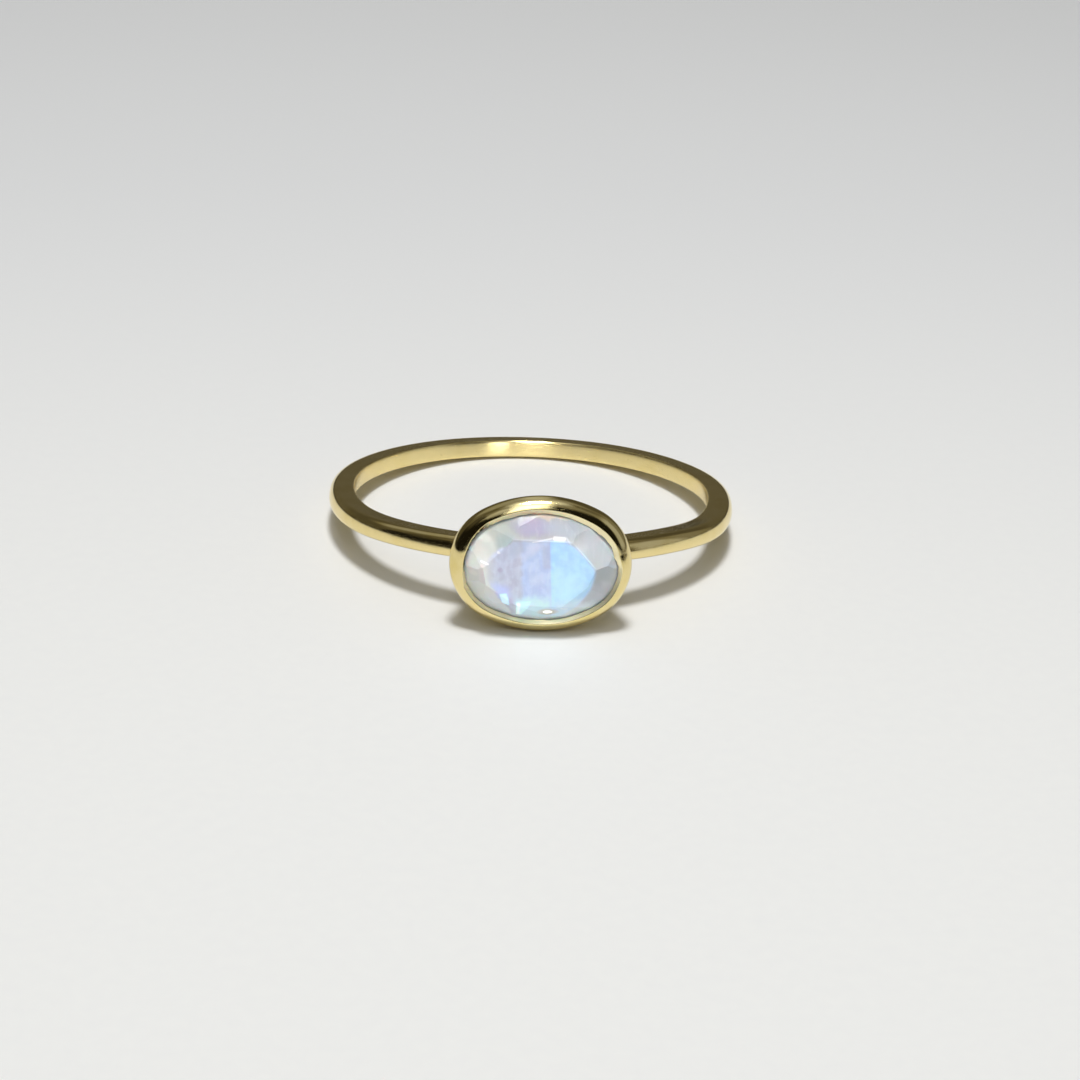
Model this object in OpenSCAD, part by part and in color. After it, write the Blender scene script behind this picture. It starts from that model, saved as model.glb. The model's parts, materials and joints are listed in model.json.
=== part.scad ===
// Finger ring with an oval moonstone in a plain closed bezel.
// It lies on its side as it rests by itself: on the underside of the bezel in front, and on the
// lower edge of the band at the back. The stone faces -Y, and the surface is at Z = 0.

/* [Band] */
// Radius of the finger hole, half of a 17.3 mm inner diameter
finger_r = 8.65; // [8.5:0.05:9]
// Thickness of the band, from the finger hole out to its outer face
band_t = 1.22; // [1.18:0.02:1.3]
// Width of the band along the finger
band_w = 0.87; // [0.85:0.01:0.88]
// Radius of the domed outer face, across the band
band_dome_r = 0.6; // [0.6:0.01:0.62]
// Radius of the eased edges of the finger hole
bore_edge_r = 0.07; // [0.05:0.01:0.1]

/* [Bezel] */
// Half of the bezel's length, along the band
bezel_half_l = 4.16; // [4.14:0.02:4.3]
// Half of the bezel's height, along the finger
bezel_half_h = 3.2; // [3.18:0.02:3.3]
// Radius of the bezel's two round ends
bezel_end_r = 2.88; // [2.8:0.02:2.9]
// Distance from the finger's axis to the crest of the rim
crest_reach = 11.5; // [11.4:0.05:11.8]
// Radius of the rim, which is rounded from its crest to the wall
rim_r = 0.5; // [0.44:0.02:0.52]
// Height of the upright wall behind the rounded rim
wall_h = 0.16; // [0.1:0.02:0.3]
// How far the cup draws in, from the wall to its base
cup_draw = 0.8; // [0.6:0.05:0.9]
// Distance from the finger's axis to the flat base of the cup
base_reach = 9; // [8.95:0.05:9.1]
// Thickness of the cup's base
base_t = 0.4; // [0.3:0.05:0.4]
// How far the lip that holds the stone reaches in, from the outside of the bezel
lip_reach = 0.66; // [0.64:0.02:0.68]
// How far the lip's inner edge lies below the crest
lip_drop = 0.1; // [0.08:0.02:0.12]
// Slope of the narrow bright cut along the inside of the lip, in degrees
lip_slope = 36; // [34:2:44]

/* [Stone] */
// How far the stone's widest line lies inside the outside of the bezel
girdle_inset = 0.45; // [0.44:0.01:0.5]
// Depth of the stone's widest line below the crest
girdle_drop = 0.42; // [0.42:0.01:0.5]
// Height of the stone's polished edge, under the lip
girdle_t = 0.1; // [0.06:0.01:0.12]
// Height of the table above the crest
table_rise = 0.7; // [0.6:0.02:0.8]
// Slope of the eight main crown facets, in degrees
crown_slope = 38; // [36:1:41]
// Slope of the small crown facets next to the lip, in degrees
rim_facet_slope = 49; // [48:1:52]
// Depth of the stone below its edge
pavilion_depth = 1.35; // [1.2:0.05:1.4]
// Slope of the pavilion facets next to the edge, in degrees
lower_slope = 31; // [28:1:32]
// Clear space between the stone and the metal
stone_gap = 0.03; // [0.02:0.005:0.03]

/* [Hidden] */
$fn = 96;

// The table's edges, as the cutter left them: the direction that each one faces, in degrees
// anticlockwise from the right as the stone is looked at, and its distance from the middle.
FACING = 0;
DISTANCE = 1;
table_edges = [
    [-168.7, 2.59],
    [-124.0, 1.97],
    [-91.3, 1.64],
    [-49.7, 1.89],
    [-22.4, 2.21],
    [41.8, 1.92],
    [87.8, 1.43],
    [136.4, 2.01]
];

// The oval is four arcs that meet smoothly: two ends and two longer, flatter sides.
end_c = bezel_half_l - bezel_end_r;
side_r = (end_c * end_c + bezel_half_h * bezel_half_h - bezel_end_r * bezel_end_r)
    / (2 * (bezel_half_h - bezel_end_r));
side_c = side_r - bezel_half_h;
end_half_angle = atan2(side_c, end_c);
side_half_angle = 90 - end_half_angle;

// Facets that follow the oval: this many on each end and on each side
END_FACETS = 6;
SIDE_FACETS = 4;
facet_facings = [
    for (turn = [0, 180], i = [0:END_FACETS - 1])
        turn + end_half_angle * ((2 * i + 1) / END_FACETS - 1),
    for (turn = [90, 270], i = [0:SIDE_FACETS - 1])
        turn + side_half_angle * ((2 * i + 1) / SIDE_FACETS - 1)
];
// The flats of the polished edge stand under the ridges between those facets.
girdle_facings = [
    for (turn = [0, 180], i = [0:END_FACETS])
        turn + end_half_angle * (2 * i / END_FACETS - 1),
    for (turn = [90, 270], i = [1:SIDE_FACETS - 1])
        turn + side_half_angle * (2 * i / SIDE_FACETS - 1)
];

// Levels of the stone, as distances from the finger's axis
girdle_top = crest_reach - girdle_drop;
girdle_bottom = girdle_top - girdle_t;
table_reach = crest_reach + table_rise;
culet_reach = girdle_bottom - pavilion_depth;
// The small lower facets give way to the main pavilion facets this far in from the edge.
pavilion_break = 1;
main_pavilion_top = girdle_bottom - pavilion_break * tan(lower_slope);
PAVILION_MAINS = 8;
culet_trim = 0.12;
// The flats that follow the oval lie this far in, so that the ridges between them reach its line.
flat_inset = girdle_inset + 0.04;

// The inside of the cup: the seat slopes more than the stone above it.
seat_slope = lower_slope + 5;
pocket_inset = girdle_inset - stone_gap;
seat_top = girdle_bottom - stone_gap;
seat_inset = 0.9;
seat_foot = seat_top - (seat_inset - pocket_inset) * tan(seat_slope);
well_inset = 1.3;
wall_foot = crest_reach - rim_r - wall_h;

// The band's section: its dome meets the flat sides at edge_r.
outer_r = finger_r + band_t;
dome_c = outer_r - band_dome_r;
edge_r = dome_c + sqrt(band_dome_r * band_dome_r - band_w * band_w / 4);

// The resting tilt: one straight line touches the bezel's wall and the band's lower back edge.
tilt = atan2(bezel_half_h - band_w / 2, wall_foot + edge_r);
centre_z = bezel_half_h * cos(tilt) - wall_foot * sin(tilt);

// The middle of the whole ring from front to back is at Y = 0.
function table_corner(i) =
    let (a = table_edges[i], b = table_edges[(i + 1) % len(table_edges)])
    [
        a[DISTANCE] * sin(b[FACING]) - b[DISTANCE] * sin(a[FACING]),
        b[DISTANCE] * cos(a[FACING]) - a[DISTANCE] * cos(b[FACING])
    ] / sin(b[FACING] - a[FACING]);
table_low = min([for (i = [0:len(table_edges) - 1]) table_corner(i)[1]]);
front_y = table_low * sin(tilt) - table_reach * cos(tilt);
back_y = dome_c * cos(tilt) + band_dome_r;
centre_y = -(front_y + back_y) / 2;

FAR = 30;

// The turn starts and ends here, between the band's right side and its back.
SEAM_AT = 30;

// Distance from the middle to the straight line that touches the oval on the side it faces,
// where the oval lies `inset` inside the bezel's outline.
function oval_touch(facing, inset) =
    let (along = abs(cos(facing)), across = abs(sin(facing)))
    atan2(across, along) < end_half_angle
        ? end_c * along + bezel_end_r - inset
        : side_r - inset - side_c * across;

// Turns a piece built around the +Z axis to face -Y.
module facing_front() {
    rotate([90, 0, 0]) children();
}

// Carries the finished ring from its own level frame to the way it rests.
module at_rest() {
    translate([0, centre_y, centre_z]) rotate([-tilt, 0, 0]) children();
}

// Carries a section round the oval. The section reads $arc_r, the radius of the arc that it is on.
module round_oval() {
    for (turn = [0, 180]) {
        rotate([0, 0, turn])
        translate([end_c, 0, 0])
        rotate([0, 0, -end_half_angle])
        rotate_extrude(angle = 2 * end_half_angle)
        let ($arc_r = bezel_end_r) children();

        rotate([0, 0, turn])
        intersection() {
            translate([0, -side_c, 0])
            rotate([0, 0, end_half_angle])
            rotate_extrude(angle = 2 * side_half_angle)
            let ($arc_r = side_r) children();
            translate([-FAR / 2, 0, 0]) cube(FAR);
        }
    }
}

module band_section() {
    eased = finger_r + bore_edge_r;
    eased_z = band_w / 2 - bore_edge_r;
    translate([finger_r, -eased_z]) square([band_t / 2, 2 * eased_z]);
    translate([eased, -band_w / 2]) square([edge_r - eased, band_w]);
    for (side = [-1, 1])
        translate([eased, side * eased_z]) circle(bore_edge_r);
    intersection() {
        translate([dome_c, 0]) circle(band_dome_r);
        translate([edge_r, -band_w]) square(2 * band_w);
    }
}

// The cup as if it were solid, from its own axis out to the wall
module cup_section() {
    rim_level = crest_reach - rim_r;
    polygon([
        [0, base_reach],
        [$arc_r - cup_draw, base_reach],
        [$arc_r, wall_foot],
        [$arc_r, rim_level],
        [$arc_r - rim_r, rim_level],
        [$arc_r - rim_r, crest_reach],
        [0, crest_reach]
    ]);
    translate([$arc_r - rim_r, rim_level]) circle(rim_r);
}

// All that is empty or stone inside the cup, open above the lip
module hollow_section() {
    lip_run = lip_reach - rim_r + 0.1;
    polygon([
        [0, base_reach + base_t],
        [$arc_r - well_inset, base_reach + base_t],
        [$arc_r - seat_inset, seat_foot],
        [$arc_r - pocket_inset, seat_top],
        [$arc_r - pocket_inset, girdle_top + stone_gap],
        [$arc_r - lip_reach, crest_reach - lip_drop],
        [$arc_r - lip_reach + lip_run, crest_reach - lip_drop + lip_run * tan(lip_slope)],
        [$arc_r - lip_reach + lip_run, crest_reach + 1],
        [0, crest_reach + 1]
    ]);
}

// Everything under one flat cut. The cut faces outward at `facing` and leans `slope` from level;
// it passes `distance` from the middle at the given level.
module below_cut(facing, slope, distance, level) {
    rotate([0, 0, facing])
    translate([distance, 0, level])
    rotate([0, slope, 0])
    translate([-FAR / 2, -FAR / 2, -FAR])
    cube(FAR);
}

module gold_ring() {
    color([0.87, 0.76, 0.45])
    at_rest() {
        // The band is filed flat in front, inside the thickness of the cup's base.
        difference() {
            rotate([0, 0, SEAM_AT]) rotate_extrude() band_section();
            translate([-FAR / 2, -FAR - base_reach - 0.85 * base_t, -FAR / 2]) cube(FAR);
        }
        facing_front()
        round_oval()
        difference() {
            cup_section();
            hollow_section();
        }
    }
}

module moonstone() {
    color([0.79, 0.85, 0.94])
    at_rest()
    facing_front()
    intersection() {
        // The slab between the flat culet and the table
        translate([-FAR / 2, -FAR / 2, culet_reach + culet_trim])
        cube([FAR, FAR, table_reach - culet_reach - culet_trim]);

        // Crown: the mains meet the table, the small ones follow the lip
        intersection_for (edge = table_edges)
            below_cut(edge[FACING], crown_slope, edge[DISTANCE], table_reach);
        intersection_for (facing = facet_facings)
            below_cut(facing, rim_facet_slope, oval_touch(facing, flat_inset), girdle_top);

        // Girdle: the polished edge
        intersection_for (facing = girdle_facings)
            below_cut(facing, 90, oval_touch(facing, flat_inset), girdle_top);

        // Pavilion: small facets follow the edge, the mains meet at the culet
        intersection_for (facing = facet_facings)
            below_cut(facing, 180 - lower_slope, oval_touch(facing, flat_inset), girdle_bottom);
        intersection_for (i = [0:PAVILION_MAINS - 1]) {
            facing = 360 * (i + 0.5) / PAVILION_MAINS;
            run = oval_touch(facing, flat_inset + pavilion_break);
            slope = atan2(main_pavilion_top - culet_reach, run);
            below_cut(facing, 180 - slope, run, main_pavilion_top);
        }
    }
}

gold_ring();
moonstone();
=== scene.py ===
import itertools
import json

import bpy
import numpy as np
from mathutils import Matrix


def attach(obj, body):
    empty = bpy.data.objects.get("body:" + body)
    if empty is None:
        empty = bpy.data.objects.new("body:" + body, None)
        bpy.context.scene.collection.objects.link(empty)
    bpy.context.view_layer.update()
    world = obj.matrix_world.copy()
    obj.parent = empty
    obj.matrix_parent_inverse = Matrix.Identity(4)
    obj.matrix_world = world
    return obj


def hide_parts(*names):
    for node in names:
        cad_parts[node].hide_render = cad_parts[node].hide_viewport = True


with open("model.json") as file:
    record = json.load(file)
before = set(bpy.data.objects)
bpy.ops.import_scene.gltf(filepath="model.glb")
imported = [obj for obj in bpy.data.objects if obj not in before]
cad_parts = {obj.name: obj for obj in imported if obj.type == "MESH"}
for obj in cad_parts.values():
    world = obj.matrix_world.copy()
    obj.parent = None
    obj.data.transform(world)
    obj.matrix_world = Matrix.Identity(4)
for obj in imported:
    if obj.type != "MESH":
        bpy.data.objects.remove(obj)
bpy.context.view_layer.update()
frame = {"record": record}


# Gold band
# One round wire of yellow gold, rolled flat on its sides and left domed outside. It is bent to a
# circle and soldered to the cup, where the solder has run into a small fillet all round.
mm = 0.001
finger_bore = next(m for m in frame["record"]["mounts"] if m["name"] == "finger_bore")
bore_centre = np.array(finger_bore["pos_m"])
finger_axis = np.array(finger_bore["axis"])
right_axis = np.array([1.0, 0.0, 0.0])
back_axis = np.cross(finger_axis, right_axis)

# Lengths are in millimetres, and angles in degrees.
finger_r = finger_bore["dims"]["r_mm"]
band_t = 1.22
band_w = 0.87
dome_depth = 0.4
dome_squareness = 2.5
dome_lean = 0.07
bore_ease = 0.12
bore_squareness = 3.2
bore_lean = 0.018
filed_reach = 9.34
fillet_r = 0.16
band_waver = 0.006
front_widening = 0.12
front_rise = 0.05
band_sags = (
    # middle, degrees round from the cup; spread, degrees; depth, mm
    (66, 21, 0.25),
    (294, 24, 0.16),
)
band_steps = 480
dome_points = 27
side_points = 6
bore_points = 17
section_points = dome_points + side_points + bore_points + side_points

# The cup's outside, which the band's fillet follows.
cup_draw = 0.8
base_reach = 9.0
wall_foot = 10.84
bezel_half_l = 4.16
bezel_half_h = 3.2
bezel_end_r = 2.88
end_c = bezel_half_l - bezel_end_r

band_lengths = (2 * np.pi * (finger_r + band_t), 2 * (band_t + band_w))
bore_start = band_lengths[1] * (dome_points + side_points) / section_points
bore_end = band_lengths[1] * (dome_points + side_points + bore_points) / section_points
finish_edge = 0.03
buff_depth = 0.02
band_colour = (0.91, 0.755, 0.37)
band_dull = (0.84, 0.67, 0.27)
# The bore's paler colour is a painted highlight for the bright floor that it mirrors.
bore_painted_highlight_colour = (1.0, 0.84, 0.42)


def laid_down(points):
    """Rows of (right, back, along the finger), in millimetres from the middle of the finger hole,
    turned to the way the ring rests and given in metres."""
    return bore_centre + mm * points @ np.array([right_axis, back_axis, finger_axis])


def ripple(turn, waves, size, seed):
    """A closed wavy line: the sum of one sine for each whole number of waves in a turn, each with
    a random phase and strength, scaled so that its height is about the given size."""
    draw = np.random.default_rng(seed)
    counts = np.arange(waves[0], waves[1] + 1)
    phases = draw.uniform(0, 2 * np.pi, len(counts))
    strengths = draw.normal(0, 1, len(counts))
    total = np.sin(np.multiply.outer(turn, counts) + phases) @ strengths
    return size * total / np.sqrt((strengths ** 2).sum())


def soft_half(angles, depth, half_width, squareness):
    """Half of a superellipse: depth times the cosine and half width times the sine of each angle
    from -90 to 90 degrees, each raised to 2 / squareness with its sign kept."""
    turn = np.radians(angles)
    power = 2 / squareness
    out = depth * np.abs(np.cos(turn)) ** power
    across = half_width * np.sign(np.sin(turn)) * np.abs(np.sin(turn)) ** power
    return np.stack([out, across], axis=1)


def skin(name, points, lengths, closed_profile):
    """A mesh from a grid of points. Rows follow a profile and columns go round a closed path. Each
    four neighbours make a face. An open profile's two ends are closed with fans to their middles.
    The UV map holds how far a corner lies round the path and along the profile, in millimetres,
    where the two lengths are those of the whole grid."""
    rows, columns = points.shape[:2]
    last_row = rows if closed_profile else rows - 1
    i, j = np.meshgrid(np.arange(last_row), np.arange(columns), indexing="ij")
    corner_rows = np.stack([i, i, i + 1, i + 1], axis=-1).reshape(-1, 4)
    corner_columns = np.stack([j, j + 1, j + 1, j], axis=-1).reshape(-1, 4)
    quads = (corner_rows % rows) * columns + corner_columns % columns
    verts = points.reshape(-1, 3)
    faces = quads.tolist()
    uv = np.stack([corner_columns * lengths[0] / columns, corner_rows * lengths[1] / rows], axis=-1)
    uv = uv.reshape(-1, 2)
    if not closed_profile:
        verts = np.concatenate([verts, points[[0, -1]].mean(axis=1)])
        ring = np.arange(columns)
        turned = np.roll(ring, -1)
        end = (rows - 1) * columns
        first_middle = np.full(columns, rows * columns)
        faces += np.stack([turned, ring, first_middle], axis=1).tolist()
        faces += np.stack([end + ring, end + turned, first_middle + 1], axis=1).tolist()
        uv = np.concatenate([uv, np.zeros((6 * columns, 2))])
    mesh = bpy.data.meshes.new(name)
    mesh.from_pydata(laid_down(verts).tolist(), [], faces)
    mesh.shade_smooth()
    mesh.uv_layers.new(name="surface").data.foreach_set("uv", uv.ravel())
    piece = bpy.data.objects.new(name, mesh)
    bpy.context.scene.collection.objects.link(piece)
    return piece


def depth_under_cup(right, reach, height):
    """How far a point of the band lies outside the cup, in millimetres, less than 0 inside: the
    larger of its distances from the drawn-in wall and from the flat base."""
    drawn_in = cup_draw * (wall_foot - reach) / (wall_foot - base_reach)
    wall = end_c + np.sqrt(np.maximum((bezel_end_r - drawn_in) ** 2 - height ** 2, 0))
    slope = np.arctan2(cup_draw, wall_foot - base_reach)
    return np.maximum((np.abs(right) - wall) * np.cos(slope), base_reach - reach)


def bent_flat(height, turns):
    """Heights along the finger of the band as it is bent by hand: a little wider and higher towards
    the cup, by a cosine of the turn, and sagging in a bell curve on each side of the cup."""
    fuller = 0.5 + 0.5 * np.cos(turns)
    sag = 0
    for middle, spread, depth in band_sags:
        sag = sag + depth * np.exp(-((np.degrees(turns) - middle) / spread) ** 2)
    return height * (1 + front_widening * fuller) + front_rise * fuller - sag


def band_surface(turns, seed):
    """The band's section carried round the finger. The section is two half superellipses, a domed
    one outside that leans a little and a shallow one inside, joined by the flat sides. Its points
    move out by the fillet near the cup, and are filed flat inside the cup's base."""
    half_w = band_w / 2
    dome = soft_half(np.linspace(-90, 90, dome_points), dome_depth, half_w, dome_squareness)
    dome[:, 0] += finger_r + band_t - dome_depth
    dome[:, 0] -= dome_lean * dome[:, 1] / half_w
    bore = soft_half(np.linspace(90, -90, bore_points), -bore_ease, half_w, bore_squareness)
    bore[:, 0] += finger_r + bore_ease
    bore[:, 0] -= bore_lean * bore[:, 1] / half_w
    side = np.linspace(dome[-1], bore[0], side_points + 2)[1:-1]
    other_side = np.linspace(bore[-1], dome[0], side_points + 2)[1:-1]
    section = np.concatenate([dome, side, bore, other_side])
    ahead = np.roll(section, -1, axis=0) - np.roll(section, 1, axis=0)
    out = np.stack([ahead[:, 1], -ahead[:, 0]], axis=1) / np.linalg.norm(ahead, axis=1)[:, None]

    radius, height = section[:, :1], section[:, 1:]
    right, back = radius * np.sin(turns), -radius * np.cos(turns)
    outside = np.clip(depth_under_cup(right, -back, height), 0, fillet_r)
    fillet = fillet_r - np.sqrt(fillet_r ** 2 - (fillet_r - outside) ** 2)
    fillet = fillet * np.clip(1 + out[:, :1], 0, 1)
    radius = radius + fillet * out[:, :1] + ripple(turns, (3, 9), band_waver, seed)
    height = height + fillet * out[:, 1:] + ripple(turns, (2, 7), band_waver, seed + 1)
    right, back = radius * np.sin(turns), -radius * np.cos(turns)
    back = np.maximum(back, -filed_reach)
    height = bent_flat(np.broadcast_to(height, right.shape), turns)
    return np.stack([right, back, height], axis=-1)


def feed(node, sockets):
    """Gives a node's sockets what they take: a link from a Paint, a colour, or a plain value."""
    for name, value in sockets.items():
        entry = node.inputs[name]
        if isinstance(value, Paint):
            value.tree.links.new(value.socket, entry)
        elif entry.type == "RGBA":
            entry.default_value = (*value, 1)
        else:
            entry.default_value = value


class Paint:
    """One socket of a material's nodes. An expression on such values adds its Math nodes."""

    def __init__(self, tree, socket=None):
        self.tree = tree
        self.socket = socket

    def node(self, kind, settings, sockets, out=0):
        """Adds a node: its settings first, then the values or links of its sockets."""
        made = self.tree.nodes.new(kind)
        for name, value in settings.items():
            setattr(made, name, value)
        feed(made, sockets)
        return Paint(self.tree, made.outputs[out])

    def math(self, operation, *values):
        return self.node("ShaderNodeMath", {"operation": operation}, dict(enumerate(values)))

    def __add__(self, other):
        return self.math("ADD", self, other)

    def __sub__(self, other):
        return self.math("SUBTRACT", self, other)

    def __mul__(self, other):
        return self.math("MULTIPLY", self, other)

    def __truediv__(self, other):
        return self.math("DIVIDE", self, other)

    def __rsub__(self, other):
        return self.math("SUBTRACT", other, self)

    __radd__ = __add__
    __rmul__ = __mul__

    def without_sign(self):
        return self.math("ABSOLUTE", self)

    def larger_of(self, other):
        return self.math("MAXIMUM", self, other)

    def in_place(self):
        """The piece's own coordinates, in metres."""
        return self.node("ShaderNodeTexCoord", {}, {}, out=3)

    def on_surface(self):
        """The piece's own UV map, in millimetres."""
        return self.node("ShaderNodeUVMap", {"uv_map": "surface"}, {})

    def parts(self):
        """The three numbers of a vector."""
        apart = self.node("ShaderNodeSeparateXYZ", {}, {"Vector": self})
        return [Paint(self.tree, socket) for socket in apart.socket.node.outputs]

    def mixed_value(self, other, share):
        """This value where the share is 0 and the other where it is 1."""
        return self + (other - self) * share

    def risen(self, start, end):
        """0 below start and 1 above end, with a smooth rise between them."""
        ends = {"Value": self, "From Min": start, "From Max": end}
        return self.node("ShaderNodeMapRange", {"interpolation_type": "SMOOTHSTEP"}, ends)

    def mixed(self, first, second):
        """The first colour where this value is 0 and the second where it is 1."""
        return self.node("ShaderNodeMix", {"data_type": "RGBA"}, {0: self, 6: first, 7: second}, out=2)

    def noise(self, scale, detail=3.0, roughness=0.5, stretch=(1, 1, 1)):
        """Cloudy values from 0 to 1 at this position, finer as the scale grows."""
        place = self.node("ShaderNodeVectorMath", {"operation": "MULTIPLY"}, {0: self, 1: stretch})
        sockets = {"Vector": place, "Scale": scale, "Detail": detail, "Roughness": roughness}
        return place.node("ShaderNodeTexNoise", {}, sockets)


def between(value, low, high, soft):
    """1 from low to high and 0 outside, with a smooth edge."""
    return value.risen(low - soft, low + soft) * (1 - value.risen(high - soft, high + soft))


def new_paint(name):
    """A new material: itself, a start for its paint, and its main shader."""
    material = bpy.data.materials.new(name)
    material.use_nodes = True
    return material, Paint(material.node_tree), material.node_tree.nodes["Principled BSDF"]


def polished_gold(name, colour, dull_colour):
    """Polished yellow gold: nearly a mirror, with fine lines left by the buff along the surface,
    a few deeper scratches, and a slightly uneven colour. Gives the material, its shader and its
    UV map, and the colour and roughness that a piece's own finish is laid over."""
    material, paint, gold = new_paint(name)
    surface = paint.on_surface()
    clouds = paint.in_place().noise(900.0, 4.0)
    buff_lines = surface.noise(1.0, 3.0, 0.6, stretch=(1.2, 26.0, 1.0))
    scratches = surface.noise(1.0, 2.0, 0.5, stretch=(2.5, 60.0, 1.0)).risen(0.63, 0.7)
    tarnish = (clouds * 0.7 + buff_lines * 0.3).risen(0.42, 0.72)
    relief = buff_lines * 0.6 + clouds * 0.5 + scratches * -0.4
    pressed = {"Height": relief, "Strength": 0.08, "Distance": buff_depth * mm}
    feed(gold, {"Metallic": 1.0, "Normal": relief.node("ShaderNodeBump", {}, pressed)})
    roughness = 0.06 + buff_lines * 0.06 + scratches * 0.08
    return material, gold, surface, tarnish.mixed(colour, dull_colour), roughness


def band_gold():
    """The band's gold. The bore is only brushed along its length, which spreads the light across it,
    and it is painted paler: a painted highlight for the bright floor that it mirrors."""
    polished = polished_gold("polished_gold_band", band_colour, band_dull)
    material, gold, surface, colour, roughness = polished
    in_bore = between(surface.parts()[1], bore_start, bore_end, finish_edge)
    # The paler bore colour is a painted highlight; its extra roughness and brushing are real.
    feed(gold, {
        "Base Color": (in_bore * 0.4).mixed(colour, bore_painted_highlight_colour),
        "Roughness": roughness + in_bore * 0.15,
        "Anisotropic": 1.0,
        "Anisotropic Rotation": 0.25,
    })
    return material


band_turns = np.linspace(0, 2 * np.pi, band_steps, endpoint=False)
band = skin("gold_band", band_surface(band_turns, seed=11), band_lengths, closed_profile=True)
band.data.materials.append(band_gold())
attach(band, "root")
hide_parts("gold_ring")


# Bezel cup
# A strip of the same gold, bent to an oval, closed with a flat base and drawn in towards it. Its
# rim is rounded over, and the lip is pushed and burnished down on the stone by hand, so the
# narrow bright cut inside the lip changes in width and its edge is a little ragged.
crest_reach = 11.5
rim_h = 0.66
rim_lean = 12
base_t = 0.4
girdle_inset = 0.45
girdle_drop = 0.42
girdle_t = 0.1
lower_slope = 31
stone_gap = 0.03
seat_inset = 0.9
seat_slope = lower_slope + 5
well_inset = 1.3
floor_inset = well_inset + 0.6

side_r = (end_c ** 2 + bezel_half_h ** 2 - bezel_end_r ** 2) / (2 * (bezel_half_h - bezel_end_r))
side_c = side_r - bezel_half_h
end_half_angle = np.degrees(np.arctan2(side_c, end_c))
side_half_angle = 90 - end_half_angle
girdle_top = crest_reach - girdle_drop
girdle_bottom = girdle_top - girdle_t

# The lip's three forms: the rim's end, mm in; the lip's edge, mm in; its drop below the crest, mm.
short_lip = (0.46, 0.62, 0.15)
long_lip = (0.57, 0.84, 0.01)
rolled_lip = (0.66, 0.70, 0.05)

# Shares round the oval: facing, degrees anticlockwise from the right; value there.
lip_pushed_in = (
    (0, 0.15), (15, 0.85), (30, 0.7), (52, 1), (75, 0.55), (90, 0.4), (105, 0.45), (122, 0.3),
    (140, 0), (250, 0.05), (300, 0.1), (340, 0.05),
)
rim_rolled_on = ((0, 0), (120, 0), (138, 0.6), (160, 1), (185, 0.75), (205, 0), (300, 0))
edge_ragged = ((0, 0.15), (90, 0.15), (112, 0.6), (135, 1), (185, 0.8), (210, 0.2), (300, 0.1))
cut_waver = 0.04
lip_waver = 0.008
lip_nicks = 0.004
lip_raggedness = 0.026
lip_rows_moved = 3.0
rim_waver = 0.008
crest_waver = 0.006
rim_blend = 0.3

base_rows = 6
wall_rows = 8
rim_rows = 30
cut_rows = 5
lip_rows = 6
cup_lengths = (23.2, 9.0)
ragged_span = (11.9, 15.4)
cup_colour = (0.88, 0.74, 0.37)
cup_dull = (0.80, 0.65, 0.26)
# The cut's paler colour is a painted highlight. The specks are dirt, with painted shade in the ragged
# gaps.
cut_painted_highlight_colour = (1.0, 0.89, 0.56)
dirt_and_shade_speck_colour = (0.06, 0.05, 0.02)


def rounded(corners):
    """A line through the corners, each given as (inset, reach, radius, steps) and replaced by an
    arc that touches both of its sides. The first and the last stay points."""
    line = [np.array([corners[0][:2]])]
    for before, corner, after in zip(corners, corners[1:], corners[2:]):
        here = np.array(corner[:2])
        back = np.array(before[:2]) - here
        ahead = np.array(after[:2]) - here
        back, ahead = back / np.linalg.norm(back), ahead / np.linalg.norm(ahead)
        half = np.arccos(np.clip(back @ ahead, -1, 1)) / 2
        radius, steps = corner[2:]
        middle = here + (back + ahead) / np.linalg.norm(back + ahead) * radius / np.sin(half)
        start = here + back * radius / np.tan(half) - middle
        end = here + ahead * radius / np.tan(half) - middle
        share = np.linspace(0, 1, steps)[:, None]
        sweep = np.pi - 2 * half
        arc = (np.sin((1 - share) * sweep) * start + np.sin(share * sweep) * end) / np.sin(sweep)
        line.append(middle + arc)
    line.append(np.array([corners[-1][:2]]))
    return np.concatenate(line)


def cup_profile(crest_in, lip_in, lip_low):
    """The cup's outline in section, from its base out to the wall, over the rim, across the bright
    cut to the lip's edge, and down the pocket, seat and well inside. The rim is an arc that still
    leans out by a few degrees where it meets the cut."""
    pocket_inset = girdle_inset - stone_gap
    seat_top = girdle_bottom - stone_gap
    seat_foot = seat_top - (seat_inset - pocket_inset) * np.tan(np.radians(seat_slope))
    turn = np.radians(np.linspace(0, 90 - rim_lean, rim_rows))
    across = (1 - np.cos(turn)) / (1 - np.cos(turn[-1]))
    along = np.sin(turn) / np.sin(turn[-1])
    rim = np.stack([crest_in * across, crest_reach + rim_h * (along - 1)], axis=1)
    # The last corner only gives the way on into the rim, and is left out of the profile.
    outside = rounded([
        (floor_inset, base_reach, 0, 1),
        (cup_draw, base_reach, 0.1, base_rows),
        (0, crest_reach - rim_h, 0.2, wall_rows),
        (0.001, crest_reach - rim_h + 0.01, 0, 1),
    ])
    inside = rounded([
        (crest_in, crest_reach, 0, 1),
        (lip_in, crest_reach - lip_low, 0.012, lip_rows),
        (pocket_inset, girdle_top + stone_gap, 0.03, 4),
        (pocket_inset, seat_top, 0.03, 4),
        (seat_inset, seat_foot, 0.05, 4),
        (well_inset, base_reach + base_t, 0.1, 6),
        (floor_inset, base_reach + base_t, 0, 1),
    ])
    cut = inside[0] + np.linspace(0, 1, cut_rows + 2)[1:-1, None] * (inside[1] - inside[0])
    return np.concatenate([outside[:-1], rim, cut, inside[1:]])


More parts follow.
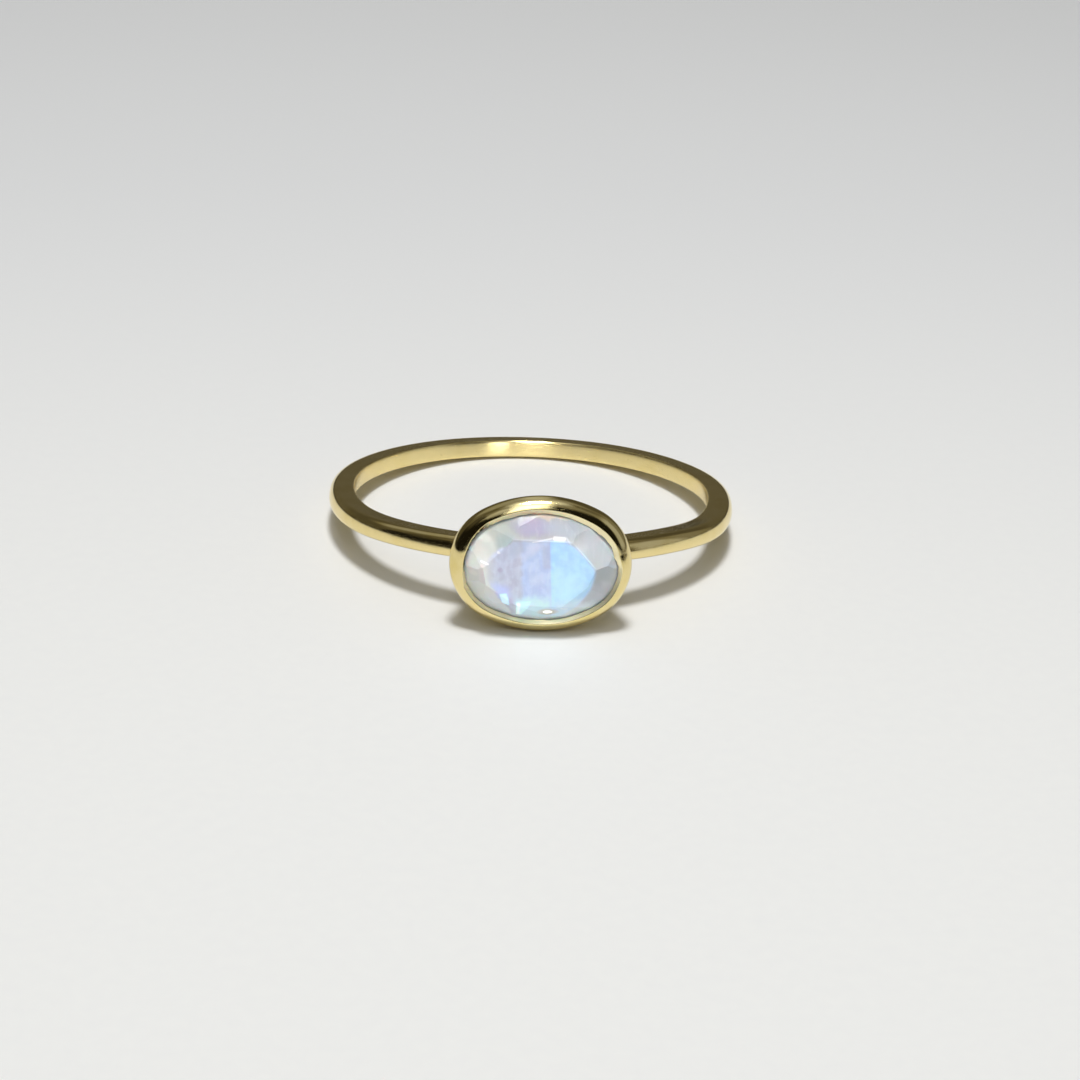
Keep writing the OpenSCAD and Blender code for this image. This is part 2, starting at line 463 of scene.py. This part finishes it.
def around_oval(end_steps, side_steps):
    """The directions, in degrees anticlockwise from the right, that a four-arc oval faces at
    evenly spaced places: round each end, then along each side."""
    end = np.linspace(-end_half_angle, end_half_angle, end_steps, endpoint=False)
    side = np.linspace(-side_half_angle, side_half_angle, side_steps, endpoint=False)
    return np.concatenate([end, 90 + side, 180 + end, 270 + side])


def on_oval(facing, inset):
    """The place on the oval where it faces that way: the centre of the arc that faces so, plus
    the arc's radius less the inset, in that direction."""
    turn = np.radians(facing)
    tip = np.degrees(np.arctan2(np.abs(np.sin(turn)), np.abs(np.cos(turn)))) < end_half_angle + 1e-6
    centre_x = np.where(tip, end_c * np.sign(np.cos(turn)), 0)
    centre_h = np.where(tip, 0, -side_c * np.sign(np.sin(turn)))
    radius = np.where(tip, bezel_end_r, side_r) - inset
    return centre_x + radius * np.cos(turn), centre_h + radius * np.sin(turn)


def lip_row(profile):
    """The row of a profile that is the middle of the lip's edge: the furthest in of those that
    are nearer to the crest than to the girdle."""
    above = profile[:, 1] > (girdle_top + crest_reach) / 2
    return np.argmax(np.where(above, profile[:, 0], -1))


def round_the_lip(facings, table):
    """A value round the oval, straight between the rows (facing in degrees, value) of a table."""
    at, values = np.array(table).T
    return np.interp(np.mod(facings, 360), at, values, period=360)


def cup_surface(facings, seed):
    """The cup's profile carried round the oval. It is a mix of three: a short steep lip, a long
    flat one that the hammer pushed furthest in at the upper right, and at the upper left a rim
    that rolls on to the stone with hardly any cut. The lip's edge wavers, most at the upper left."""
    turn = np.radians(facings)
    short, long, rolled = (cup_profile(*lip)[:, None] for lip in (short_lip, long_lip, rolled_lip))
    rolled_on = round_the_lip(facings, rim_rolled_on)
    pushed_in = round_the_lip(facings, lip_pushed_in) + ripple(turn, (5, 16), cut_waver, seed)
    pushed_in = np.clip(pushed_in, 0, 1) * (1 - rolled_on)
    profile = short * (1 - pushed_in - rolled_on)[:, None] + long * pushed_in[:, None]
    profile = profile + rolled * rolled_on[:, None]
    inset, reach = profile[..., 0], profile[..., 1]
    row = np.arange(len(inset))[:, None]
    on_lip = np.exp(-((row - lip_row(short[:, 0])) / lip_rows_moved) ** 2)
    on_rim = np.clip((reach - wall_foot) / rim_blend, 0, 1)
    ragged = ripple(turn, (6, 20), lip_waver, seed + 2) + ripple(turn, (30, 75), lip_nicks, seed + 1)
    nicked = ripple(turn, (36, 80), lip_raggedness, seed + 5)
    ragged = ragged + round_the_lip(facings, edge_ragged) * nicked
    inset = inset + on_lip * ragged + on_rim * ripple(turn, (3, 9), rim_waver, seed + 3)
    reach = reach + on_rim * ripple(turn, (3, 14), crest_waver, seed + 4)
    right, height = on_oval(facings, inset)
    return np.stack([right, -reach, height], axis=-1)


def cup_gold(profile_rows):
    """The cup's gold. The cut inside the lip is a little rougher and painted paler, a painted
    highlight,
    and has dark specks where it is ragged: dirt, with painted shade in the ragged gaps. It runs from
    the last row of the rim to the end of the lip's edge."""
    first = base_rows + wall_rows + rim_rows
    last = first + 1 + cut_rows + lip_rows
    cut_start, cut_end = (cup_lengths[1] * row / profile_rows for row in (first, last))
    polished = polished_gold("polished_gold_cup", cup_colour, cup_dull)
    material, gold, surface, colour, roughness = polished
    round_cup, along_profile, _ = surface.parts()
    in_cut = between(along_profile, cut_start, cut_end, finish_edge)
    # Dark specks where the lip is ragged: dirt, and painted shade in the gaps between lip and stone.
    dirt_and_shade_specks = surface.noise(1.0, 2.0, 0.6, stretch=(4.5, 1.6, 1.0)).risen(0.36, 0.43)
    dirt_and_shade_specks = dirt_and_shade_specks * in_cut * between(round_cup, *ragged_span, 0.5)
    # The cut is painted paler, a painted highlight.
    feed(gold, {
        "Base Color": dirt_and_shade_specks.mixed(in_cut.mixed(colour, cut_painted_highlight_colour), dirt_and_shade_speck_colour),
        "Roughness": roughness + in_cut * 0.2,
    })
    return material


cup_points = cup_surface(around_oval(end_steps=128, side_steps=80), seed=21)
cup = skin("bezel_cup", cup_points, cup_lengths, closed_profile=False)
cup.data.materials.append(cup_gold(len(cup_points)))
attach(cup, "root")
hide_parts("gold_ring")


# Moonstone
# A milky moonstone, cut by hand: a table, eight crown mains around it, a row of small facets
# along the lip and cut facets below. The arrises are a little worn. Inside, a blue sheen, small
# flashes and a faint glow are painted light.
table_edges = (
    # facing, degrees anticlockwise from the right; distance from the middle, mm
    (-168.7, 2.59),
    (-124.0, 1.97),
    (-91.3, 1.64),
    (-49.7, 1.89),
    (-22.4, 2.21),
    (41.8, 1.92),
    (87.8, 1.43),
    (136.4, 2.01),
)
table_rise = 0.7
crown_slope = 38
rim_facet_slope = 49
flat_inset = girdle_inset + 0.04
end_facets = 6
side_facets = 4
pavilion_depth = 1.35
pavilion_break = 1
pavilion_mains = 8
culet_trim = 0.12
arris_wear = 0.035
arris_from = 30


def flat_cut(facing, slope, distance, level):
    """One flat cut as a row: the outward direction (right, height, reach), which faces that way
    and leans by the slope from level, and how far out the plane lies along it."""
    turn, lean = np.radians(facing), np.radians(slope)
    out = np.array([np.cos(turn) * np.sin(lean), np.sin(turn) * np.sin(lean), np.cos(lean)])
    return np.append(out, out @ [distance * np.cos(turn), distance * np.sin(turn), level])


def oval_touch(facing, inset):
    """Distance from the middle to the line that touches the inset oval on the side it faces."""
    right, height = on_oval(np.array(facing), inset)
    return right * np.cos(np.radians(facing)) + height * np.sin(np.radians(facing))


def stone_cuts():
    """Every flat cut of the stone: table and culet, crown mains, then the facets and edge flats
    that follow the oval, and the pavilion mains that meet at the culet."""
    table_reach = crest_reach + table_rise
    culet_reach = girdle_bottom - pavilion_depth
    main_top = girdle_bottom - pavilion_break * np.tan(np.radians(lower_slope))
    ends = end_half_angle * (2 * np.arange(end_facets) + 1) / end_facets - end_half_angle
    sides = side_half_angle * (2 * np.arange(side_facets) + 1) / side_facets - side_half_angle
    rim_facings = np.concatenate([ends, 90 + sides, 180 + ends, 270 + sides])
    order = np.sort(rim_facings)
    flat_facings = (order + np.append(order[1:], order[0] + 360)) / 2
    cuts = [flat_cut(0, 0, 0, table_reach), flat_cut(0, 180, 0, culet_reach + culet_trim)]
    for facing, distance in table_edges:
        cuts.append(flat_cut(facing, crown_slope, distance, table_reach))
    for facing in rim_facings:
        touch = oval_touch(facing, flat_inset)
        cuts.append(flat_cut(facing, rim_facet_slope, touch, girdle_top))
        cuts.append(flat_cut(facing, 180 - lower_slope, touch, girdle_bottom))
    for facing in flat_facings:
        cuts.append(flat_cut(facing, 90, oval_touch(facing, flat_inset), girdle_top))
    for facing in 360 * (np.arange(pavilion_mains) + 0.5) / pavilion_mains:
        run = oval_touch(facing, flat_inset + pavilion_break)
        slope = np.degrees(np.arctan2(main_top - culet_reach, run))
        cuts.append(flat_cut(facing, 180 - slope, run, main_top))
    return np.array(cuts)


def cut_solid(cuts):
    """The corners and faces of the solid inside all the flat cuts. Each three cuts cross at one
    point, which is a corner if no cut removes it. A cut's corners, in order round their middle,
    are its face."""
    outward, distance = cuts[:, :3], cuts[:, 3]
    threes = np.array(list(itertools.combinations(range(len(cuts)), 3)))
    threes = threes[np.abs(np.linalg.det(outward[threes])) > 1e-9]
    crossings = np.linalg.solve(outward[threes], distance[threes][..., None])[..., 0]
    kept = crossings[(crossings @ outward.T - distance < 1e-7).all(axis=1)]
    corners = np.unique(np.round(kept, 6), axis=0)
    askew = [0.31, 0.52, 0.79]
    faces = []
    for out, far in zip(outward, distance):
        own = np.flatnonzero(np.abs(corners @ out - far) < 1e-5)
        first = np.cross(out, askew)
        spread = corners[own] - corners[own].mean(axis=0)
        faces.append(own[np.argsort(np.arctan2(spread @ np.cross(out, first), spread @ first))])
    return corners, faces


stone_corners, stone_faces = cut_solid(stone_cuts())
stone_mesh = bpy.data.meshes.new("moonstone_cut")
in_ring = np.stack([stone_corners[:, 0], -stone_corners[:, 2], stone_corners[:, 1]], axis=1)
stone_mesh.from_pydata(laid_down(in_ring).tolist(), [], [face.tolist() for face in stone_faces])
stone_uv = stone_mesh.uv_layers.new(name="surface")
stone_uv.data.foreach_set("uv", stone_corners[np.concatenate(stone_faces), :2].ravel())
stone = bpy.data.objects.new("moonstone_cut", stone_mesh)
bpy.context.scene.collection.objects.link(stone)
arris = stone.modifiers.new("worn_arrises", "BEVEL")
arris.width = arris_wear * mm
arris.segments = 1
arris.limit_method = "ANGLE"
arris.angle_limit = np.radians(arris_from)

# The stone's inside, as seen from the front: millimetres to the right and up from its middle.
milk_colours = ((0.70, 0.74, 0.75), (0.76, 0.77, 0.82))
veil_colour = (0.86, 0.88, 0.90)
# Clouds of the milky body. The dark rows across the top crown are partly the stone's own tone and
# partly painted shade under the lip, and the tan row just below the lip is a painted reflection of the
# gold.
clouds_painted_shade_and_reflection = (
    # right, up, half width, half height; softness; strength; colour
    (0.0, 2.0, 2.7, 0.8, 0.9, 1.0, (0.35, 0.36, 0.36)),
    (-2.5, 1.1, 1.0, 0.9, 0.8, 0.85, (0.60, 0.61, 0.56)),
    (-2.8, -0.6, 0.8, 1.3, 0.8, 0.85, (0.82, 0.83, 0.79)),
    (-1.9, -1.7, 0.9, 0.6, 0.8, 0.7, (0.80, 0.84, 0.88)),
    (-2.05, 1.75, 0.45, 0.35, 0.9, 0.6, (0.40, 0.43, 0.39)),
    (-1.70, 1.20, 0.40, 0.45, 0.9, 0.8, (0.33, 0.40, 0.42)),
    (-0.38, 1.95, 0.95, 0.36, 0.9, 0.75, (0.31, 0.29, 0.44)),
    (1.0, 1.95, 0.9, 0.35, 0.9, 0.7, (0.37, 0.40, 0.46)),
    (0.4, 2.45, 1.2, 0.16, 0.8, 0.7, (0.58, 0.46, 0.34)),
    (2.6, 0.4, 1.0, 1.6, 0.8, 0.85, (0.42, 0.46, 0.48)),
    (2.4, -1.3, 1.0, 0.7, 0.8, 0.7, (0.52, 0.56, 0.64)),
    (0.6, -2.0, 2.2, 0.55, 0.8, 0.9, (0.82, 0.92, 1.0)),
)
# Each cleavage plane: how far right it crosses the middle, and its lean to the left per mm of rise.
sky_plane = (0.4, 0.06)
lilac_plane = (-0.9, 0.03)
# The painted sheen: its colours, outline and parts, laid on as colour with a painted glow.
painted_sky_sheen_colours = ((0.40, 0.66, 0.97), (0.48, 0.75, 1.0))
painted_blue_sheen_colours = ((0.50, 0.60, 0.87), (0.58, 0.68, 0.94))
painted_lilac_sheen_colours = ((0.50, 0.51, 0.65), (0.58, 0.61, 0.75))
sheen_veil_colour = (0.76, 0.80, 0.94)
sheen_outline = (
    (-2.6, -0.3), (-2.2, -0.93), (-1.13, -2.3), (0.95, -2.35), (1.95, -1.4), (2.36, -0.6),
    (2.42, 0.12), (1.62, 1.08), (1.05, 1.44), (-1.4, 1.44), (-2.4, 0.6),
)
sheen_parts = (
    # corners; softness; strength; colour
    (((0.45, -1.2), (1.6, -1.4), (1.9, -0.2), (0.45, 0.3)), 0.4, 0.6, (0.60, 0.85, 1.0)),
    (((-1.1, -2.5), (0.5, -2.5), (0.45, -1.25), (-1.15, -1.25)), 0.25, 0.85, (0.68, 0.92, 1.0)),
    (((0.5, -2.5), (2.4, -2.5), (2.4, -1.2), (0.5, -1.5)), 0.25, 0.75, (0.72, 0.84, 1.0)),
    (((-2.5, -1.3), (-1.4, -1.3), (-1.5, -0.75), (-2.5, -0.5)), 0.25, 0.75, (0.58, 0.64, 1.0)),
    (((0.0, 0.1), (0.37, 0.1), (0.34, 1.3), (-0.05, 1.3)), 0.12, 0.45, (0.44, 0.45, 0.62)),
    (((-1.45, 0.6), (-0.8, 0.8), (-0.45, 1.4), (-1.45, 1.45)), 0.2, 0.5, (0.44, 0.49, 0.63)),
    (((-0.85, 0.6), (-0.1, 1.0), (0.0, 1.42), (-0.4, 1.42)), 0.2, 0.6, (0.70, 0.71, 0.86)),
    (((-0.55, -0.6), (0.0, -0.6), (0.05, -0.1), (-0.45, -0.1)), 0.25, 0.5, (0.70, 0.78, 0.95)),
)
# Painted flashes: bright reflections and glints from the cuts below, laid on as colour and glow.
flashes = (
    # corners
    # softness; strength; colour; glow
    (((-1.02, -2.2), (-0.84, -2.24), (-0.45, -1.42), (-1.08, -1.46)),
     0.06, 0.95, (0.60, 0.88, 1.0), 0.34),
    (((-1.05, -2.25), (-0.9, -2.25), (-0.93, -1.5), (-1.08, -1.5)),
     0.05, 0.9, (0.80, 0.98, 1.0), 0.4),
    (((-1.74, -1.56), (-1.42, -1.68), (-1.54, -1.06), (-1.86, -1.1)),
     0.06, 1.0, (0.60, 0.86, 1.0), 0.4),
    (((0.47, 1.50), (0.96, 1.46), (1.0, 1.59), (0.47, 1.62)),
     0.06, 0.9, (1.0, 1.0, 1.0), 0.22),
    (((-0.48, 1.36), (0.44, 1.54), (0.43, 1.58), (-0.49, 1.4)),
     0.04, 0.6, (0.95, 0.97, 1.0), 0.15),
    (((1.01, 1.55), (1.26, 1.26), (1.3, 1.29), (1.05, 1.6)),
     0.04, 0.4, (0.8, 0.85, 0.95), 0.1),
    (((-2.78, 0.37), (-2.42, 0.27), (-2.40, 0.33), (-2.76, 0.43)),
     0.04, 0.9, (1.0, 1.0, 1.0), 0.3),
    (((0.91, -1.79), (1.25, -1.84), (1.25, -1.80), (0.91, -1.75)),
     0.04, 0.6, (0.95, 0.97, 1.0), 0.2),
    (((2.69, -0.46), (2.91, -1.04), (3.18, -0.68)),
     0.12, 0.5, (0.70, 0.73, 0.76), 0.0),
)
# Mostly small painted glints inside the stone, and the places around them.
sparks = (
    # right, up, half width, half height; softness; strength; colour; glow
    (0.34, -1.99, 0.42, 0.2, 0.8, 0.7, (0.78, 0.66, 0.54), 0.0),
    (0.34, -1.99, 0.2, 0.11, 0.5, 1.0, (1.0, 1.0, 0.97), 0.7),
    (-1.98, 0.86, 0.08, 0.06, 0.8, 0.6, (1.0, 1.0, 1.0), 0.06),
    (-3.07, -0.24, 0.18, 0.12, 0.9, 0.45, (0.98, 0.96, 0.90), 0.06),
    (-2.6, 1.35, 0.25, 0.15, 0.9, 0.25, (0.98, 0.97, 0.90), 0.02),
    (-1.88, 0.05, 0.12, 0.1, 0.8, 0.5, (0.45, 0.40, 0.60), 0.0),
)
# Painted glow: the body gives off a little light of its own, and the sheen more.
body_glow = 0.012
body_light = (0.025, 0.026, 0.028)
sheen_light = (0.55, 0.8, 1.0)


def haze(right, height, middle_x, middle_h, half_w, half_h, soft):
    """1 inside an ellipse on the stone's face and 0 outside: how far the sum of the two squared
    distances from its middle, each as a share of its half size, lies below 1."""
    across = (right - middle_x) / half_w
    along = (height - middle_h) / half_h
    return 1 - (across * across + along * along).risen(1 - soft, 1 + soft)


def patch(right, height, outline, soft):
    """1 inside a straight-sided patch and 0 outside. Its corners go anticlockwise. Each side gives
    how far a point lies inward of it, and the patch is where all of these are above 0."""
    mask = None
    for (x0, h0), (x1, h1) in zip(outline, outline[1:] + outline[:1]):
        run = np.hypot(x1 - x0, h1 - h0)
        inward = right * ((h0 - h1) / run) + height * ((x1 - x0) / run) + (x0 * h1 - x1 * h0) / run
        side = inward.risen(-soft, soft)
        mask = side if mask is None else mask * side
    return mask


def moonstone_paint():
    """Milky moonstone: a pale body with cloudy places, and a painted blue sheen across the table and
    down the lower crown. Two upright cleavage planes split the painted sheen into a lilac, a blue and
    a bright sky-blue part. The cuts below are painted as small bright flashes and glints, and the
    body and the sheen glow with painted light."""
    material, paint, shader = new_paint("milky_moonstone")
    surface = paint.on_surface()
    right, height, _ = surface.parts()
    drift = surface.noise(0.9, 2.0, 0.4)
    mottle = surface.noise(2.2, 2.5, 0.45)
    grain = surface.noise(1.0, 3.0, 0.5, stretch=(4.5, 1.4, 1.0))
    wisps = surface.noise(1.3, 4.0, 0.55, stretch=(1.0, 1.0, 3.0))
    wavy_right = right + (drift - 0.5) * 0.5 + (mottle - 0.5) * 0.25
    wavy_height = height + (wisps - 0.5) * 0.6

    colour = drift.risen(0.35, 0.65).mixed(*milk_colours)
    # Body clouds, with painted shade across the top crown and a painted reflection of the gold under
    # the lip.
    for *ellipse, strength, tone in clouds_painted_shade_and_reflection:
        colour = (haze(wavy_right, wavy_height, *ellipse) * strength).mixed(colour, tone)
    colour = (grain.risen(0.5, 0.75) * 0.1).mixed(colour, veil_colour)

    # The painted sheen, split by the cleavage planes into lilac, blue and sky-blue parts.
    sky = (right + height * sky_plane[1] - sky_plane[0]).risen(-0.03, 0.03)
    past_lilac = right + height * lilac_plane[1] - lilac_plane[0] + (mottle - 0.5) * 0.3
    lilac = 1 - past_lilac.risen(-0.12, 0.12)
    sky_colour = mottle.risen(0.35, 0.65).mixed(*painted_sky_sheen_colours)
    blue_colour = mottle.risen(0.4, 0.6).mixed(*painted_blue_sheen_colours)
    lilac_colour = mottle.risen(0.4, 0.62).mixed(*painted_lilac_sheen_colours)
    sheen = lilac.mixed(sky.mixed(blue_colour, sky_colour), lilac_colour)
    sheen = (grain.risen(0.4, 0.75) * (1 - sky * 0.8) * 0.3).mixed(sheen, sheen_veil_colour)
    for outline, soft, strength, tone in sheen_parts:
        sheen = (patch(wavy_right, wavy_height, outline, soft) * strength).mixed(sheen, tone)

    waviness = 1 - right.risen(-1.8, -0.4)
    edge_right = right + (wavy_right - right) * waviness
    edge_height = height + (wavy_height - height) * waviness
    in_sheen = patch(edge_right, edge_height, sheen_outline, 0.13) * right.risen(-2.8, -1.9)
    colour = in_sheen.mixed(colour, sheen)
    # Painted glow: emitted light, faint in the body and stronger in the sheen.
    glow = in_sheen * (sky * 0.07 + 0.06) + body_glow
    shine = glow.mixed(body_light, sheen_light)

    # Painted flashes and glints, in colour and in glow.
    shaken_right = right + (mottle - 0.5) * 0.12
    lights = [(patch(shaken_right, height, *row[:2]), row[2:]) for row in flashes]
    lights += [(haze(shaken_right, height, *row[:5]), row[5:]) for row in sparks]
    for mask, (strength, tone, light) in lights:
        flash = mask * strength
        colour = flash.mixed(colour, tone)
        shine = flash.mixed(shine, tuple(light * part for part in tone))
    feed(shader, {
        "Base Color": colour,
        "Roughness": 0.11,
        "IOR": 1.52,
        "Emission Color": shine,
        "Emission Strength": 1.0,
        "Subsurface Weight": 0.35,
        "Subsurface Scale": 0.6 * mm,
    })
    return material


stone_mesh.materials.append(moonstone_paint())
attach(stone, "root")
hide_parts("moonstone")


# Surface, light and camera
# A plain pale sheet, lit by one soft light overhead and a dim room. Two small lamps at the front
# right light one piece each: the bore of the band, and the stone's arrises. The camera is the
# photo's.
sheet_colours = ((0.86, 0.86, 0.85), (0.89, 0.89, 0.87))
# The greyer colour behind the ring is painted shade, where the light falls off.
sheet_painted_shade_colour = (0.80, 0.805, 0.81)
dim_colour = (1.0, 0.9, 0.62)
bright_colour = (0.96, 0.98, 1.0)
seen_colour = (0.5, 0.5, 0.51)
card_light = 1.5
card_middle = -0.045

# The camera as fitted to the photo: degrees, millimetres, and pixels of its frame.
camera_azimuth = -2.947
camera_elevation = 16.243
camera_roll = -2.109
camera_distance = 141.0
focal_px = 2872.0
frame_px = 1080
sensor = 36.0
hole_px = (530.83, 495.88)


def plain_sheet(half_size, steps):
    """A level square of evenly spaced points at the height that the ring rests on."""
    line = np.linspace(-half_size, half_size, steps)
    x, y = np.meshgrid(line, line, indexing="ij")
    points = np.stack([x, y, np.zeros_like(x)], axis=-1).reshape(-1, 3)
    i = (np.arange(steps - 1)[:, None] * steps + np.arange(steps - 1)).ravel()
    faces = np.stack([i, i + steps, i + steps + 1, i + 1], axis=1)
    mesh = bpy.data.meshes.new("pale_sheet")
    mesh.from_pydata(points.tolist(), [], faces.tolist())
    sheet = bpy.data.objects.new("pale_sheet", mesh)
    bpy.context.scene.collection.objects.link(sheet)
    return sheet


def sheet_paint():
    """A pale matt sheet, slightly grained, with painted shade that turns it greyer behind the ring."""
    material, paint, shader = new_paint("pale_sheet")
    place = paint.in_place()
    colour = place.noise(1500.0, 2.0).mixed(*sheet_colours)
    # Painted shade: the sheet is greyer towards the back.
    painted_far_shade = place.parts()[1].risen(-0.02, 0.06)
    feed(shader, {"Base Color": painted_far_shade.mixed(colour, sheet_painted_shade_colour), "Roughness": 0.7})
    return material


def dim_room():
    """The dim room that the gold mirrors: a tall white card in front, a ceiling, walls and panels.
    Each is a span of directions, in degrees to the right of the front and degrees above the
    surface, times its light. The camera itself sees an even grey."""
    world = bpy.data.worlds.new("dim_room")
    world.use_nodes = True
    room = Paint(world.node_tree)
    direction = room.node("ShaderNodeTexCoord", {}, {}, out=0)
    to_right, to_back, up = direction.parts()
    azimuth = to_right.math("ARCTAN2", to_right, to_back * -1) * (180 / np.pi)
    elevation = up.math("ARCSINE", up) * (180 / np.pi)

    card_half_width = elevation.risen(5, 42) * 0.075 + elevation.risen(48, 66) * 0.055 + 0.05
    card = 1 - ((to_right - card_middle).without_sign() - card_half_width).risen(-0.03, 0.03)
    card = card * elevation.risen(15, 32) * (1 - to_back.risen(-0.05, 0.1))
    card_core = card * between(elevation, 32, 60, 6) * 1.2

    dark_front = between(azimuth, -96, 55, 4) * (1 - elevation.risen(40, 56))
    low_light = elevation.risen(0, 7) * 0.07 * (1 - dark_front * 0.95)
    wall_height = elevation.risen(-2, 5) * (1 - elevation.risen(34, 60))
    right_wall = between(azimuth, 59, 95, 5) * wall_height * 0.32
    far_right = between(azimuth, 95, 126, 5) * wall_height * 0.12
    left_wall = between(azimuth, -112, -64, 8) * between(elevation, 28, 52, 8) * 0.05
    left_panel = between(azimuth, -54, -14, 5) * between(elevation, 36, 60, 5) * 0.36
    upper_front = (1 - to_back.risen(-0.35, 0.1)) * elevation.risen(44, 62) * 0.15
    far_back = to_back.risen(0.5, 0.8) * between(elevation, 2, 20, 5) * 0.035
    back_left = between(azimuth, -172, -118, 10) * between(elevation, 34, 56, 6) * 0.22
    narrow = 1 - to_right.without_sign().risen(0.05, 0.2)
    back_middle = to_back.risen(0.2, 0.7) * narrow * elevation.risen(24, 40) * 0.4
    upper_back = to_back.risen(0.05, 0.3) * elevation.risen(46, 66) * 0.22
    ceiling = elevation.risen(64, 78) * 0.55

    strength = 0.006 + low_light + far_back + right_wall + far_right + left_panel + upper_front
    strength = strength + back_left + back_middle + left_wall + ceiling.larger_of(upper_back)
    strength = strength.mixed_value(card_light, card) + card_core
    tint = strength.risen(0.03, 0.4).mixed(dim_colour, bright_colour)
    seen = room.node("ShaderNodeLightPath", {}, {}, out=0)
    lit = {"Color": seen.mixed(tint, seen_colour), "Strength": strength.mixed_value(1.0, seen)}
    feed(world.node_tree.nodes["Background"], lit)
    return world


def soft_light(name, azimuth, elevation, distance, size, radiance):
    """An oval light that faces the ring from that direction: degrees to the right of the front,
    degrees above the surface, metres away. Its power is the radiance times pi times its area."""
    light = bpy.data.lights.new(name, "AREA")
    light.shape = "ELLIPSE"
    light.size, light.size_y = size
    light.energy = radiance * np.pi * size[0] * size[1] * (np.pi / 4)
    lamp = bpy.data.objects.new(name, light)
    bpy.context.scene.collection.objects.link(lamp)
    side, high = np.radians(azimuth), np.radians(elevation)
    away = np.array([np.sin(side) * np.cos(high), -np.cos(side) * np.cos(high), np.sin(high)])
    across = np.cross([0.0, 0.0, 1.0], away)
    across /= np.linalg.norm(across)
    turned = np.stack([across, np.cross(away, across), away], axis=1)
    lamp.matrix_world = Matrix.Translation(away * distance) @ Matrix(turned.tolist()).to_4x4()
    return lamp


def photo_camera():
    """The photo's camera: it stands off the middle of the finger hole at these angles to the
    ring's own frame, rolls a little, and aims so that the hole's middle falls on its pixel."""
    side, high, roll = np.radians([camera_azimuth, camera_elevation, camera_roll])
    level = np.array([np.cos(side), np.sin(side), 0])
    ahead = np.array([-np.cos(high) * np.sin(side), np.cos(high) * np.cos(side), -np.sin(high)])
    upright = np.cross(level, ahead)
    place = -camera_distance * ahead
    right = np.cos(roll) * level - np.sin(roll) * upright
    top = np.sin(roll) * level + np.cos(roll) * upright
    off = (np.array(hole_px) - frame_px / 2) / focal_px
    ahead = ahead - off[0] * right + off[1] * top
    ahead /= np.linalg.norm(ahead)
    right = right - (right @ ahead) * ahead
    right /= np.linalg.norm(right)
    turned = np.stack([right, np.cross(right, ahead), -ahead], axis=1)
    turned = np.array([right_axis, back_axis, finger_axis]).T @ turned
    data = bpy.data.cameras.new("photo_camera")
    data.sensor_width = sensor
    data.lens = focal_px * sensor / frame_px
    data.clip_start, data.clip_end = 0.001, 20
    camera = bpy.data.objects.new("photo_camera", data)
    bpy.context.scene.collection.objects.link(camera)
    camera.matrix_world = Matrix.Translation(laid_down(place)) @ Matrix(turned.tolist()).to_4x4()
    return camera


floor = plain_sheet(half_size=2.0, steps=3)
floor.data.materials.append(sheet_paint())

bpy.context.scene.world = dim_room()
soft_light("overhead", -4.6, 80.8, 0.28, (0.056, 0.064), 54.0)
side_lamp = soft_light("side_lamp", 19.0, 8.0, 0.3, (0.1, 0.075), 9.5)
edge_lamp = soft_light("edge_lamp", 32.0, 14.5, 0.3, (0.036, 0.036), 18.0)
for lamp, piece in ((side_lamp, band), (edge_lamp, stone)):
    lamp_lit = bpy.data.collections.new("lit_by_" + lamp.name)
    lamp_lit.objects.link(piece)
    lamp.light_linking.receiver_collection = lamp_lit

bpy.context.scene.camera = photo_camera()
bpy.context.scene.view_settings.view_transform = "Standard"
